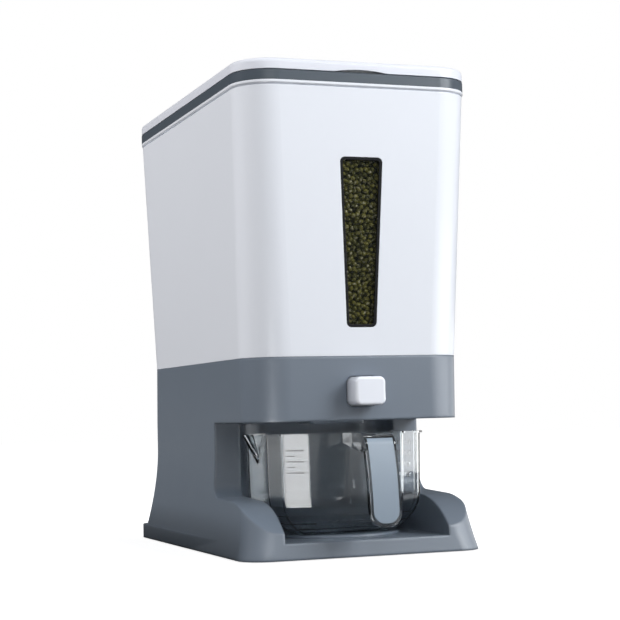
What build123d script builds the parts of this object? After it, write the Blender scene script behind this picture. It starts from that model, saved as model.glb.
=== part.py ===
from build123d import *
import os
from math import atan2, cos, radians, sin

# Rice dispenser: a tapered grain bin on a flared base, with a push button that opens a
# slotted gate, and a clear measuring cup that stands in an open bay and pulls out forwards.
# Millimetres, +Z up. The origin lies on the table, at the centre of the base's footprint.
# The window, the button and the cup face -Y; the lid's hinge is at +Y.

# ---- heights above the table ----
foot_lift = 1.0  # gap under the base's lower rim
tray_height = 13.5  # floor of the cup bay
plinth_height = 13.0  # straight band round the rear of the base
flare_top = 80.0  # where the flare of the base dies out
flare_power = 1.75  # how quickly the flare dies out
panel_height = 103.5  # lower edge of the front panel and ceiling of the bay
panel_rise = 49.0  # from the panel's lower edge to its top
seam_height = panel_height + panel_rise  # joint between base and bin
bin_top = 360.0  # top of the bin's rim
band_height = 8.0  # grey band between bin and lid
band_edge = 0.8
lid_height = 8.7  # white lid above its gap

# ---- outlines: half width, front, rear and corner radius of each level ----
foot_half_width = 98.5
foot_front = -160.5
foot_rear = 160.5
foot_corner = 21.0
waist_half_width = 88.4
waist_front = -152.5
waist_rear = 149.6
waist_corner = 30.0
seam_half_width = 89.3
seam_front = -153.9
seam_rear = 145.2
seam_corner = 32.0
mouth_half_width = 96.4
mouth_front = -168.0
mouth_rear = 156.3
mouth_corner = 30.0

# ---- walls and clearances ----
base_wall = 2.5
bin_wall = 2.5
deck_thickness = 3.0
fit_gap = 0.3  # between pieces that fit into each other
slide_gap = 0.3  # between pieces that slide past each other

# ---- cup bay ----
bay_half_width = 67.0  # inside faces of the two arms
bay_back = -20.0
bay_corner = 30.0
neck_front = -54.0  # front faces of the neck beside the bay
arm_rear_height = 45.0  # top of the arms at the neck
arm_bend_height = 43.0  # top of the arms where they start to dip
arm_bend = -105.0
arm_crest_radius = 80.0
arm_sweep = 62.0  # degrees of the dip
shoulder_radius = 11.0
plinth_fade = -85.0  # where the plinth's sides run into the flare

# ---- window ----
window_bottom = seam_height + 21.5
window_top = bin_top - 56.0
window_top_half_width = 17.6
window_bottom_half_width = 12.2
window_corner = 4.0
bezel_width = 2.3
bezel_recess = 0.4
bezel_flange = 4.0
bezel_flange_thickness = 1.8
pane_depth = 1.3
pane_thickness = 2.0
pane_lap = 1.2

# ---- rim and lid ----
bead_height = 2.6
groove_height = 1.0
groove_depth = 1.2
body_step = 0.9  # the bin's wall stands back from its bead
frame_inset = 6.4  # inner edge of the grey frame
skirt_depth = 7.0  # frame skirt inside the mouth
skirt_gap = 0.6
lid_gap = 0.3
lid_wall = 2.4
lid_edge_radius = 3.6
notch_half_width = 21.5
notch_height = 1.9
notch_depth = 5.0
liner_gap = 1.4
liner_depth = 9.0
liner_wall = 2.0
seal_height = 2.6
seal_width = 2.8

# ---- lid hinge ----
hinge_spacing = 58.0
hinge_reach = 4.2  # axis behind the mouth's rear
hinge_drop = 2.0  # axis below the frame's top
knuckle_radius = 3.5
lug_width = 14.0
knuckle_width = 8.0
knuckle_gap = 0.4
pin_radius = 1.5
pin_running_gap = 0.05
pin_fixed_gap = 0.02

# ---- funnel, gate and chute ----
funnel_front_height = seam_height + 11.5  # where each floor meets the bin's wall
funnel_side_height = seam_height + 34.0
funnel_rear_height = seam_height + 75.5
funnel_wall = 2.2
funnel_floor_rise = 1.4  # what the floors' slopes need on top of the wall
funnel_gap = 0.9  # between the funnel's edge and the bin's wall
throat_half_width = 29.0
throat_half_length = 21.0
gate_seat_height = panel_height + base_wall + 19.0  # top of the gate's guide
throat_height = gate_seat_height + 5.0
gate_seat_thickness = 3.0
gate_thickness = 2.4
gate_half_width = 32.0
gate_gap = 0.3
slot_half_width = 24.0
slot_length = 8.0
slot_pitch = 22.0
slot_count = 2
rail_width = 4.0
rail_lip = 4.0
rail_lip_thickness = 2.0
guide_half_width = 46.0
guide_half_length = 27.0
flange_thickness = 2.5
chute_wall = 2.0
chute_flange = 2.0
chute_half_width = 28.0
chute_half_length = 20.0
chute_end_half_width = 21.0
chute_end_half_length = 15.0
chute_end = panel_height - 2.5
chute_hole_gap = 1.0

# ---- button ----
button_height = gate_seat_height + 0.5
button_half_width = 12.2
button_half_height = 10.8
button_corner = 4.5
button_front = waist_front - 18.5
button_rear = waist_front + 4.9
button_travel = 11.0
button_gap = 0.6
button_wall = 2.0
button_edge = 2.2
sleeve_wall = 2.0
sleeve_front = waist_front + base_wall
sleeve_end = waist_front + 21.5
cap_flange = 2.0
stem_radius = 4.0
stem_gap = 0.3
spring_radius = 6.4
wire_radius = 0.5
spring_turns = 5
tab_half_width = 9.0
tab_thickness = 2.4

# ---- cup ----
cup_top = panel_height - 9.5
cup_half_width = 63.0
cup_front = -138.0
cup_back = -30.0
cup_draft = 1.6  # how much narrower the bottom is on each side
cup_wall = 2.0
cup_bottom_radius = 30.0
facet_width = 24.0  # corner facets, across the front
facet_depth = 30.0  # corner facets, along the side
facet_softness = 3.0
cup_bottom_steps = 6
flange_height = 1.4
flange_reach = 1.6
spout_reach = 13.5
spout_half_width = 16.0
spout_drop = 26.0
drain_columns = 4
drain_rows = 4
drain_pitch_y = 9.6
drain_pitch_z = 8.7
drain_width = 6.0
drain_height = 3.9
drain_centre = -81.0
drain_centre_height = 71.5
rest_radius = 52.0
rest_thickness = 2.0
rest_y = -84.0

# ---- cup handle ----
handle_half_width = 12.0
handle_thickness = 6.5
handle_top = cup_top
handle_crown_start = -175.0  # where the flat top begins to bend down
handle_crown_radius = 12.0
handle_crown_turn = 74.0
handle_bottom_reach = -195.0
handle_bottom = 24.5
handle_root_height = 7.5
handle_gusset = 14.0  # depth of the handle's arm where it meets the grip
handle_tip_radius = 11.0
inlay_inset = 1.7
inlay_thickness = 1.6
inlay_recess = 0.4
inlay_gap = 0.15
inlay_bottom = 27.5
inlay_top = 90.0

# ---- base floor, feet and fasteners ----
floor_thickness = 2.5
floor_rise = 1.6
foot_radius = 8.0
foot_stem_radius = 2.6
foot_stem_gap = 0.1
foot_barb = 1.6
foot_x = 72.0
foot_front_y = -128.0
foot_rear_y = 128.0
screw_radius = 1.7
screw_head_radius = 3.2
screw_head_height = 1.8
screw_gap = 0.15
boss_radius = 4.2
floor_screw_x = 46.0
floor_screw_y = 118.0
rear_boss_height = 30.0
bin_screw_inset = 6.2
bin_screw_front_y = -60.0
bin_screw_rear_y = 80.0
bin_flange_width = 9.5
bin_flange_thickness = 3.0
bin_boss_height = 8.0
gate_screw_x = 41.0
gate_screw_y = 20.0

# ---- worked out from the sizes above ----
foot_level = (foot_half_width, foot_front, foot_rear, foot_corner)
waist_level = (waist_half_width, waist_front, waist_rear, waist_corner)
seam_level = (seam_half_width, seam_front, seam_rear, seam_corner)
mouth_level = (mouth_half_width, mouth_front, mouth_rear, mouth_corner)
wall_top = bin_top - bead_height - groove_height
wall_top_level = (
    mouth_half_width - body_step,
    mouth_front + body_step,
    mouth_rear - body_step,
    mouth_corner - body_step,
)
frame_top = bin_top + band_height
lid_bottom = frame_top + lid_gap
lid_top = lid_bottom + lid_height
lid_ceiling = lid_top - lid_wall
outlet_y = (cup_front + cup_back) / 2  # over the middle of the cup
hinge_y = mouth_rear + hinge_reach
hinge_z = frame_top - hinge_drop
gate_top = gate_seat_height - gate_seat_thickness - gate_gap
gate_bottom = gate_top - gate_thickness
rail_bottom = gate_bottom - gate_gap - rail_lip_thickness
cup_bottom = tray_height + rest_thickness + slide_gap
reach_out = 400.0  # longer than the whole object, for cuts that run right through
cut_front = foot_front - 60.0  # in front of the whole base

os.makedirs("parts", exist_ok=True)


def outline(height, level, inset=0.0):
    """Rounded rectangle of a level at a height, pulled in all round by the inset."""
    half_width, front, rear, corner = level
    with BuildSketch(Plane.XY.offset(height)) as shape:
        with Locations((0, (front + rear) / 2)):
            RectangleRounded(2 * (half_width - inset), rear - front - 2 * inset, corner - inset)
    return shape.sketch


def between(low, high, share):
    """Level that lies a share of the way from one level to another."""
    return tuple(a + share * (b - a) for a, b in zip(low, high))


def flared(height):
    """Level of the base's flared skirt at a height."""
    return between(waist_level, foot_level, max(0.0, 1 - height / flare_top) ** flare_power)


def bin_level(height):
    """Level of the bin's outside at a height."""
    return between(seam_level, wall_top_level, (height - seam_height) / (wall_top - seam_height))


def head_level(height):
    """Level of the panel's outside at a height."""
    return between(waist_level, seam_level, (height - panel_height) / (seam_height - panel_height))


def side_opening(grow=0.0):
    """Side view of the open bay: neck, rounded shoulder and the dipping top of the arms."""
    rise = arm_rear_height - arm_bend_height
    run = neck_front - arm_bend
    slope = atan2(rise, run)
    with BuildSketch(Plane.YZ) as shape:
        with BuildLine():
            ceiling = Line((cut_front, panel_height + grow), (neck_front + grow, panel_height + grow))
            wall = Line(ceiling @ 1, (neck_front + grow, arm_rear_height - grow))
            arm = Line(wall @ 1, (arm_bend + grow * sin(slope), arm_bend_height - grow * cos(slope)))
            dip = JernArc(arm @ 1, arm % 1, arm_crest_radius - grow, arm_sweep)
            Polyline(dip @ 1, (cut_front, (dip @ 1).Y), ceiling @ 0)
        make_face()
        shoulder = shape.vertices().sort_by_distance((neck_front + grow, arm_rear_height - grow, 0))[0]
        fillet(shoulder, shoulder_radius + grow)
    return shape.sketch


def bay_outline(height, grow=0.0):
    """Plan of the cup bay, open at the front and round at the back."""
    with BuildSketch(Plane.XY.offset(height)) as shape:
        front = 2 * foot_front
        with Locations((0, (front + bay_back + grow) / 2)):
            RectangleRounded(2 * (bay_half_width + grow), bay_back + grow - front, bay_corner + grow)
    return shape.sketch


def floor_screw_spots():
    """Places of the screws that hold the base floor."""
    return [(x, y) for x in (-floor_screw_x, floor_screw_x) for y in (-floor_screw_y, floor_screw_y)]


def foot_spots():
    """Places of the four feet."""
    return [(x, y) for x in (-foot_x, foot_x) for y in (foot_front_y, foot_rear_y)]


def bin_screw_spots():
    """Places of the screws between deck and bin."""
    x = seam_half_width - bin_screw_inset
    return [(side * x, y) for side in (-1, 1) for y in (bin_screw_front_y, bin_screw_rear_y)]


# ---- base housing: flared skirt, plinth, arms, neck and overhanging head ----
skirt_steps = 4
skirt_heights = [foot_lift + (flare_top - foot_lift) * step / skirt_steps for step in range(skirt_steps + 1)]
hollow_heights = [flare_top * step / skirt_steps for step in range(skirt_steps + 1)]

with BuildPart() as base_hollow:
    loft(sections=[outline(h, flared(h), base_wall) for h in hollow_heights], ruled=True)
    extrude(outline(flare_top, waist_level, base_wall), amount=panel_height - flare_top)
    loft(
        sections=[
            outline(panel_height, waist_level, base_wall),
            outline(seam_height - deck_thickness, head_level(seam_height - deck_thickness), base_wall),
        ]
    )
    extrude(side_opening(base_wall), amount=reach_out, both=True, mode=Mode.SUBTRACT)
    extrude(
        bay_outline(tray_height - base_wall, base_wall),
        amount=panel_height - tray_height + 2 * base_wall,
        mode=Mode.SUBTRACT,
    )

with BuildPart() as base_housing:
    loft(sections=[outline(h, flared(h)) for h in skirt_heights])
    extrude(outline(flare_top, waist_level), amount=panel_height - flare_top)
    with BuildSketch(Plane.XY.offset(foot_lift)) as plinth:
        with BuildLine():
            fade_half_width = flared(plinth_height)[0]
            Polyline(
                (-fade_half_width, plinth_fade),
                (-foot_half_width, 0),
                (-foot_half_width, foot_rear),
                (foot_half_width, foot_rear),
                (foot_half_width, 0),
                (fade_half_width, plinth_fade),
                close=True,
            )
        make_face()
        fillet(plinth.vertices().group_by(Axis.Y)[-1], foot_corner)
    extrude(amount=plinth_height - foot_lift)
    loft(sections=[outline(panel_height, waist_level), outline(seam_height, seam_level)])
    extrude(side_opening(), amount=reach_out, both=True, mode=Mode.SUBTRACT)
    extrude(bay_outline(tray_height), amount=panel_height - tray_height, mode=Mode.SUBTRACT)
    add(base_hollow.part, mode=Mode.SUBTRACT)
    # opening in the deck for the funnel, and holes for the bin's screws
    with BuildSketch(Plane.XY.offset(seam_height)) as deck_opening:
        opening_front = seam_front + bin_flange_width + 4
        opening_rear = 8.0
        with Locations((0, (opening_front + opening_rear) / 2)):
            RectangleRounded(2 * (seam_half_width - 14), opening_rear - opening_front, 12)
        with Locations(*bin_screw_spots()):
            Circle(screw_radius + screw_gap)
    extrude(amount=-deck_thickness, mode=Mode.SUBTRACT)
    # hole in the ceiling of the bay for the chute
    with BuildSketch(Plane.XY.offset(panel_height)) as chute_hole:
        with Locations((0, outlet_y)):
            Rectangle(
                2 * (chute_end_half_width + chute_wall + chute_hole_gap),
                2 * (chute_end_half_length + chute_wall + chute_hole_gap),
            )
    extrude(amount=base_wall, mode=Mode.SUBTRACT)
    # hole in the panel for the button
    with BuildSketch(Plane.XZ.offset(-waist_front - base_wall - 2)) as button_hole:
        with Locations((0, button_height)):
            RectangleRounded(
                2 * (button_half_width + button_gap),
                2 * (button_half_height + button_gap),
                button_corner + button_gap,
            )
    extrude(amount=base_wall + 8, mode=Mode.SUBTRACT)
    # screw bosses: short ones under the tray, tall ones on the rear wall
    boss_foot = floor_rise + floor_thickness
    with BuildSketch(Plane.XY.offset(boss_foot)) as front_bosses:
        with Locations(*[(x, y) for x, y in floor_screw_spots() if y < 0]):
            Circle(boss_radius)
    extrude(amount=tray_height - base_wall - boss_foot)
    with BuildSketch(Plane.XY.offset(boss_foot)) as rear_bosses:
        with Locations(*[(x, y) for x, y in floor_screw_spots() if y > 0]):
            Circle(boss_radius)
    extrude(amount=rear_boss_height - boss_foot)
    for rib_x in (-floor_screw_x, floor_screw_x):
        with BuildSketch(Plane.YZ.offset(rib_x)) as rear_rib:
            rib_heights = [boss_foot + (rear_boss_height - boss_foot) * step / 2 for step in range(3)]
            rib_back = [(flared(h)[2] - base_wall / 2, h) for h in rib_heights]
            Polygon((floor_screw_y, boss_foot), *rib_back, (floor_screw_y, rear_boss_height), align=None)
        extrude(amount=base_wall / 2, both=True)
    with Locations(*[(x, y, boss_foot) for x, y in floor_screw_spots()]):
        Hole(screw_radius, depth=tray_height - base_wall - boss_foot)
base_housing.part.label = "base_housing"
export_step(base_housing.part, "parts/base_housing.step")

# ---- base floor, its feet and screws ----
with BuildPart() as base_floor:
    floor_gap = base_wall + fit_gap
    loft(
        sections=[
            outline(h, flared(h), floor_gap) for h in (floor_rise, floor_rise + floor_thickness)
        ]
    )
    with Locations(*[(x, y, floor_rise + floor_thickness) for x, y in foot_spots()]):
        Hole(foot_stem_radius + foot_stem_gap)
    with Locations(*[(x, y, floor_rise + floor_thickness) for x, y in floor_screw_spots()]):
        Hole(screw_radius + screw_gap)
base_floor.part.label = "base_floor"
export_step(base_floor.part, "parts/base_floor.step")

with BuildPart() as rubber_feet:
    with BuildSketch() as foot_discs:
        with Locations(*foot_spots()):
            Circle(foot_radius)
    extrude(amount=floor_rise)
    chamfer(rubber_feet.edges().group_by(Axis.Z)[0], 0.5)
    with BuildSketch(Plane.XY.offset(floor_rise)) as foot_stems:
        with Locations(*foot_spots()):
            Circle(foot_stem_radius)
    extrude(amount=floor_thickness)
    with BuildSketch(Plane.XY.offset(floor_rise + floor_thickness)) as foot_barbs:
        with Locations(*foot_spots()):
            Circle(foot_stem_radius + 0.5)
    extrude(amount=foot_barb, taper=18)
rubber_feet.part.label = "rubber_feet"
export_step(rubber_feet.part, "parts/rubber_feet.step")

with BuildPart() as floor_screws:
    with BuildSketch(Plane.XY.offset(floor_rise - screw_head_height + 0.8)) as floor_heads:
        with Locations(*floor_screw_spots()):
            Circle(screw_head_radius)
    extrude(amount=screw_head_height - 0.8)
    with BuildSketch(Plane.XY.offset(floor_rise)) as floor_shanks:
        with Locations(*floor_screw_spots()):
            Circle(screw_radius)
    extrude(amount=tray_height - base_wall - floor_rise - 1)
floor_screws.part.label = "floor_screws"
export_step(floor_screws.part, "parts/floor_screws.step")

# ---- raised round rest for the cup ----
with BuildPart() as cup_rest:
    with BuildSketch(Plane.XY.offset(tray_height)) as rest_disc:
        with Locations((0, rest_y)):
            Circle(rest_radius)
    extrude(amount=rest_thickness)
    chamfer(cup_rest.edges().group_by(Axis.Z)[-1], rest_thickness / 2)
cup_rest.part.label = "cup_rest"
export_step(cup_rest.part, "parts/cup_rest.step")

# ---- bin: tapered walls, rolled rim, flange at the foot, window opening ----
front_lean = atan2(seam_front - wall_top_level[1], wall_top - seam_height)
window_middle = (window_bottom + window_top) / 2
window_plane = Plane(
    origin=(0, bin_level(window_middle)[1], window_middle),
    x_dir=(1, 0, 0),
    z_dir=(0, -cos(front_lean), -sin(front_lean)),
)


def window_outline(depth, inset=0.0):
    """Tapered window outline, at a depth behind the bin's front face."""
    half_height = (window_top - window_bottom) / 2
    with BuildSketch(window_plane.offset(-depth)) as shape:
        Polygon(
            (-window_top_half_width, half_height),
            (window_top_half_width, half_height),
            (window_bottom_half_width, -half_height),
            (-window_bottom_half_width, -half_height),
            align=None,
        )
        fillet(shape.vertices(), window_corner)
        if inset:
            offset(amount=-inset, mode=Mode.REPLACE)
    return shape.sketch


with BuildPart() as hopper_body:
    loft(sections=[outline(seam_height, seam_level), outline(wall_top, wall_top_level)])
    extrude(outline(wall_top, wall_top_level, groove_depth), amount=groove_height)
    bead = extrude(outline(wall_top + groove_height, mouth_level), amount=bead_height)
    chamfer(bead.edges().group_by(Axis.Z)[0], bead_height / 3)
    loft(
        sections=[
            outline(h, bin_level(h), bin_wall) for h in (seam_height + bin_flange_thickness, bin_top)
        ],
        mode=Mode.SUBTRACT,
    )
    extrude(
        outline(seam_height, seam_level, bin_flange_width),
        amount=bin_flange_thickness,
        mode=Mode.SUBTRACT,
    )
    extrude(window_outline(-bin_wall), amount=-3 * bin_wall, mode=Mode.SUBTRACT)
    with BuildSketch(Plane.XY.offset(seam_height)) as bin_bosses:
        with Locations(*bin_screw_spots()):
            Circle(screw_radius + 1.4)
    extrude(amount=bin_flange_thickness + bin_boss_height)
    with Locations(*[(x, y, seam_height) for x, y in bin_screw_spots()]):
        Hole(screw_radius, depth=bin_flange_thickness + bin_boss_height - 1)
hopper_body.part.label = "hopper_body"
export_step(hopper_body.part, "parts/hopper_body.step")

with BuildPart() as hopper_screws:
    with BuildSketch(Plane.XY.offset(seam_height - deck_thickness - screw_head_height)) as bin_heads:
        with Locations(*bin_screw_spots()):
            Circle(screw_head_radius)
    extrude(amount=screw_head_height)
    with BuildSketch(Plane.XY.offset(seam_height - deck_thickness)) as bin_shanks:
        with Locations(*bin_screw_spots()):
            Circle(screw_radius)
    extrude(amount=deck_thickness + bin_boss_height)
hopper_screws.part.label = "hopper_screws"
export_step(hopper_screws.part, "parts/hopper_screws.step")

# ---- window: bezel clipped into the wall, pane held in the bezel's rebate ----
pane_edge = bezel_width - pane_lap
flange_depth = bin_wall + fit_gap / 3

with BuildPart() as window_frame:
    extrude(window_outline(bezel_recess, fit_gap / 2), amount=bezel_recess - flange_depth)
    extrude(window_outline(flange_depth, -bezel_flange), amount=-bezel_flange_thickness)
    extrude(window_outline(-bin_wall, bezel_width), amount=-4 * bin_wall, mode=Mode.SUBTRACT)
    extrude(window_outline(pane_depth, pane_edge - fit_gap / 3), amount=-3 * bin_wall, mode=Mode.SUBTRACT)
window_frame.part.label = "window_frame"
export_step(window_frame.part, "parts/window_frame.step")

with BuildPart() as window_pane:
    extrude(window_outline(pane_depth, pane_edge), amount=-pane_thickness)
window_pane.part.label = "window_pane"
export_step(window_pane.part, "parts/window_pane.step")

# ---- grey frame round the mouth, with the fixed lugs of the hinge ----
ear_width = (lug_width - knuckle_width) / 2 - knuckle_gap
ear_offset = (knuckle_width + ear_width) / 2 + knuckle_gap
ear_spots = [side * hinge_spacing + turn * ear_offset for side in (-1, 1) for turn in (-1, 1)]

with BuildPart() as rim_frame:
    band = extrude(outline(bin_top, mouth_level), amount=band_height)
    chamfer(band.faces().sort_by(Axis.Z)[-1].edges(), band_edge)
    skirt_inset = bin_wall + skirt_gap
    loft(sections=[outline(h, bin_level(h), skirt_inset) for h in (bin_top - skirt_depth, bin_top)])
    extrude(
        outline(bin_top - skirt_depth, mouth_level, frame_inset),
        amount=skirt_depth + band_height,
        mode=Mode.SUBTRACT,
    )
    for ear_x in ear_spots:
        with BuildSketch(Plane.YZ.offset(ear_x)) as ear:
            with Locations((hinge_y, hinge_z)):
                Circle(knuckle_radius)
            Polygon(
                (mouth_rear - 1, bin_top + 1.4),
                (mouth_rear - 1, hinge_z + 1),
                (hinge_y, hinge_z + 1),
                (hinge_y + knuckle_radius, hinge_z),
                (hinge_y + knuckle_radius * cos(radians(40)), hinge_z - knuckle_radius * sin(radians(40))),
                align=None,
            )
            with Locations((hinge_y, hinge_z)):
                Circle(pin_radius + pin_fixed_gap, mode=Mode.SUBTRACT)
        extrude(amount=ear_width / 2, both=True)
rim_frame.part.label = "rim_frame"
export_step(rim_frame.part, "parts/rim_frame.step")

with BuildPart() as hinge_pins:
    for pin_x in (-hinge_spacing, hinge_spacing):
        with BuildSketch(Plane.YZ.offset(pin_x)) as pin:
            with Locations((hinge_y, hinge_z)):
                Circle(pin_radius)
        extrude(amount=lug_width / 2, both=True)
    chamfer(hinge_pins.edges().filter_by(GeomType.CIRCLE), 0.3)
hinge_pins.part.label = "hinge_pins"
export_step(hinge_pins.part, "parts/hinge_pins.step")

# ---- lid: shallow cover with a finger notch and two knuckles ----
with BuildPart() as lid_panel:
    shell = extrude(outline(lid_bottom, mouth_level, 0.2), amount=lid_height)
    fillet(shell.edges().group_by(Axis.Z)[-1], lid_edge_radius)
    extrude(outline(lid_bottom, mouth_level, lid_wall), amount=lid_height - lid_wall, mode=Mode.SUBTRACT)
    with BuildSketch(Plane.XZ.offset(-mouth_front + 1)) as notch:
        with BuildLine():
            notch_line = Line((notch_half_width, lid_bottom), (-notch_half_width, lid_bottom))
            ThreePointArc(notch_line @ 1, (0, lid_bottom + notch_height), notch_line @ 0)
        make_face()
    extrude(amount=-notch_depth - 1, mode=Mode.SUBTRACT)
    for knuckle_x in (-hinge_spacing, hinge_spacing):
        with BuildSketch(Plane.YZ.offset(knuckle_x)) as knuckle:
            with Locations((hinge_y, hinge_z)):
                Circle(knuckle_radius)
            Polygon(
                (mouth_rear - lid_wall / 2, lid_bottom),
                (mouth_rear + 1, lid_bottom),
                (hinge_y - knuckle_radius * cos(radians(20)), hinge_z + knuckle_radius * sin(radians(20))),
                (hinge_y + knuckle_radius, hinge_z),
                (hinge_y + knuckle_radius * cos(radians(30)), hinge_z + knuckle_radius * sin(radians(30))),
                (mouth_rear - lid_wall / 2, lid_top - lid_edge_radius),
                align=None,
            )
            with Locations((hinge_y, hinge_z)):
                Circle(pin_radius + pin_running_gap, mode=Mode.SUBTRACT)
        extrude(amount=knuckle_width / 2, both=True)
lid_panel.part.label = "lid_panel"
export_step(lid_panel.part, "parts/lid_panel.step")

plug_inset = frame_inset + liner_gap
plug_bottom = frame_top - liner_depth
seal_top = lid_bottom + seal_height

with BuildPart() as lid_liner:
    extrude(outline(plug_bottom, mouth_level, plug_inset), amount=lid_ceiling - plug_bottom)
    extrude(outline(seal_top, mouth_level, lid_wall + fit_gap), amount=liner_wall)
    extrude(
        outline(plug_bottom + liner_wall, mouth_level, plug_inset + liner_wall),
        amount=lid_ceiling - plug_bottom,
        mode=Mode.SUBTRACT,
    )
lid_liner.part.label = "lid_liner"
export_step(lid_liner.part, "parts/lid_liner.step")

with BuildPart() as lid_seal:
    extrude(outline(lid_bottom, mouth_level, plug_inset - seal_width), amount=seal_height)
    extrude(outline(lid_bottom, mouth_level, plug_inset), amount=seal_height, mode=Mode.SUBTRACT)
lid_seal.part.label = "lid_seal"
export_step(lid_seal.part, "parts/lid_seal.step")

# ---- funnel inside the bin: sloping floor, lip and throat ----
funnel_top = funnel_rear_height + 2 * funnel_wall
throat_front = outlet_y - throat_half_length
throat_rear = outlet_y + throat_half_length
# the floors, drawn on past the bin's walls up to the funnel's top
climb = funnel_top - throat_height
front_run = throat_front - bin_level(funnel_front_height)[1] - bin_wall
side_run = bin_level(funnel_side_height)[0] - bin_wall - throat_half_width
rear_run = bin_level(funnel_rear_height)[2] - bin_wall - throat_rear
floors_front = throat_front - front_run * climb / (funnel_front_height - throat_height)
floors_half_width = throat_half_width + side_run * climb / (funnel_side_height - throat_height)
floors_rear = throat_rear + rear_run * climb / (funnel_rear_height - throat_height)


def pyramid(inset, lift):
    """Stump that widens upwards from the throat; its four sides are the funnel's floors."""
    half_width = floors_half_width - inset
    with BuildPart() as stump:
        with Locations((-half_width, floors_front + inset, funnel_top + lift)):
            Wedge(
                2 * half_width,
                climb,
                floors_rear - floors_front - 2 * inset,
                floors_half_width - throat_half_width,
                throat_front - floors_front,
                half_width + throat_half_width - inset,
                throat_rear - floors_front - 2 * inset,
                rotation=(-90, 0, 0),
                align=(Align.MIN, Align.MIN, Align.MIN),
            )
    return stump.part


def throat_outline(height, inset=0.0):
    """Outline of the funnel's throat."""
    with BuildSketch(Plane.XY.offset(height)) as shape:
        with Locations((0, outlet_y)):
            Rectangle(2 * (throat_half_width - inset), 2 * (throat_half_length - inset))
    return shape.sketch


def gate_screw_spots():
    """Places of the screws that hold guide and chute under the funnel."""
    return [
        (x, outlet_y + y) for x in (-gate_screw_x, gate_screw_x) for y in (-gate_screw_y, gate_screw_y)
    ]


def guide_outline(height):
    """Outline shared by the funnel's flange, the gate's guide and the chute's flange."""
    with BuildSketch(Plane.XY.offset(height)) as shape:
        with Locations((0, outlet_y)):
            RectangleRounded(2 * guide_half_width, 2 * guide_half_length, 3)
    return shape.sketch


outer_floors = pyramid(0.0, 0.0)
inner_floors = pyramid(funnel_wall, funnel_floor_rise)

with BuildPart() as hopper_funnel:
    add(outer_floors)
    loft(
        sections=[outline(h, bin_level(h), bin_wall + funnel_gap) for h in (gate_seat_height, funnel_top)],
        ruled=True,
        mode=Mode.INTERSECT,
    )
    extrude(throat_outline(gate_seat_height), amount=throat_height - gate_seat_height)
    extrude(guide_outline(gate_seat_height), amount=flange_thickness)
    add(inner_floors, mode=Mode.SUBTRACT)
    extrude(
        throat_outline(gate_seat_height, funnel_wall),
        amount=throat_height + funnel_floor_rise - gate_seat_height,
        mode=Mode.SUBTRACT,
    )
    with Locations(*[(x, y, gate_seat_height + flange_thickness) for x, y in gate_screw_spots()]):
        Hole(screw_radius + screw_gap, depth=flange_thickness)
hopper_funnel.part.label = "hopper_funnel"
export_step(hopper_funnel.part, "parts/hopper_funnel.step")

# ---- gate: slotted guide with rails, and the slotted plate that slides in it ----
guide_bottom = gate_seat_height - gate_seat_thickness
rail_inside = gate_half_width + slide_gap
slot_offset = slot_pitch * (slot_count - 1) / 2

with BuildPart() as gate_guide:
    extrude(guide_outline(guide_bottom), amount=gate_seat_thickness)
    with BuildSketch(Plane.XZ.offset(-outlet_y)) as rails:
        for side in (-1, 1):
            with Locations((side * (rail_inside + rail_width / 2), (rail_bottom + guide_bottom) / 2)):
                Rectangle(rail_width, guide_bottom - rail_bottom)
            with Locations(
                (side * (rail_inside + (rail_width - rail_lip) / 2), rail_bottom + rail_lip_thickness / 2)
            ):
                Rectangle(rail_width + rail_lip, rail_lip_thickness)
    extrude(amount=guide_half_length, both=True)
    with BuildSketch(Plane.XY.offset(guide_bottom)) as outlet_slots:
        with Locations((0, outlet_y)):
            with GridLocations(0, slot_pitch, 1, slot_count):
                SlotOverall(2 * slot_half_width, slot_length)
    extrude(amount=gate_seat_thickness, mode=Mode.SUBTRACT)
    with Locations(*[(x, y, gate_seat_height) for x, y in gate_screw_spots()]):
        Hole(screw_radius + screw_gap, depth=gate_seat_thickness)
gate_guide.part.label = "gate_guide"
export_step(gate_guide.part, "parts/gate_guide.step")

gate_front = outlet_y - guide_half_length - button_travel - tab_thickness - 1.6
gate_rear = outlet_y + slot_offset + slot_length / 2 + button_travel
tab_top = button_height + stem_radius + 2

with BuildPart() as gate_plate:
    with BuildSketch(Plane.XY.offset(gate_bottom)) as plate:
        with Locations((0, (gate_front + gate_rear) / 2)):
            RectangleRounded(2 * gate_half_width, gate_rear - gate_front, 3)
        with Locations((0, outlet_y - button_travel)):
            with GridLocations(0, slot_pitch, 1, slot_count):
                SlotOverall(2 * slot_half_width, slot_length, mode=Mode.SUBTRACT)
    extrude(amount=gate_thickness)
    with BuildSketch(Plane.XZ.offset(-gate_front)) as tab:
        with Locations((0, (gate_bottom + tab_top) / 2)):
            Rectangle(2 * tab_half_width, tab_top - gate_bottom)
        fillet(tab.vertices().group_by(Axis.Z)[-1], 4)
        with Locations((0, button_height)):
            Circle(stem_radius - 1 + fit_gap / 3, mode=Mode.SUBTRACT)
    extrude(amount=-tab_thickness)
gate_plate.part.label = "gate_plate"
export_step(gate_plate.part, "parts/gate_plate.step")

with BuildPart() as gate_screws:
    with BuildSketch(Plane.XY.offset(gate_seat_height + flange_thickness)) as gate_heads:
        with Locations(*gate_screw_spots()):
            Circle(screw_head_radius)
    extrude(amount=screw_head_height)
    with BuildSketch(Plane.XY.offset(rail_bottom)) as gate_shanks:
        with Locations(*gate_screw_spots()):
            Circle(screw_radius)
    extrude(amount=gate_seat_height + flange_thickness - rail_bottom)
gate_screws.part.label = "gate_screws"
export_step(gate_screws.part, "parts/gate_screws.step")


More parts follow.
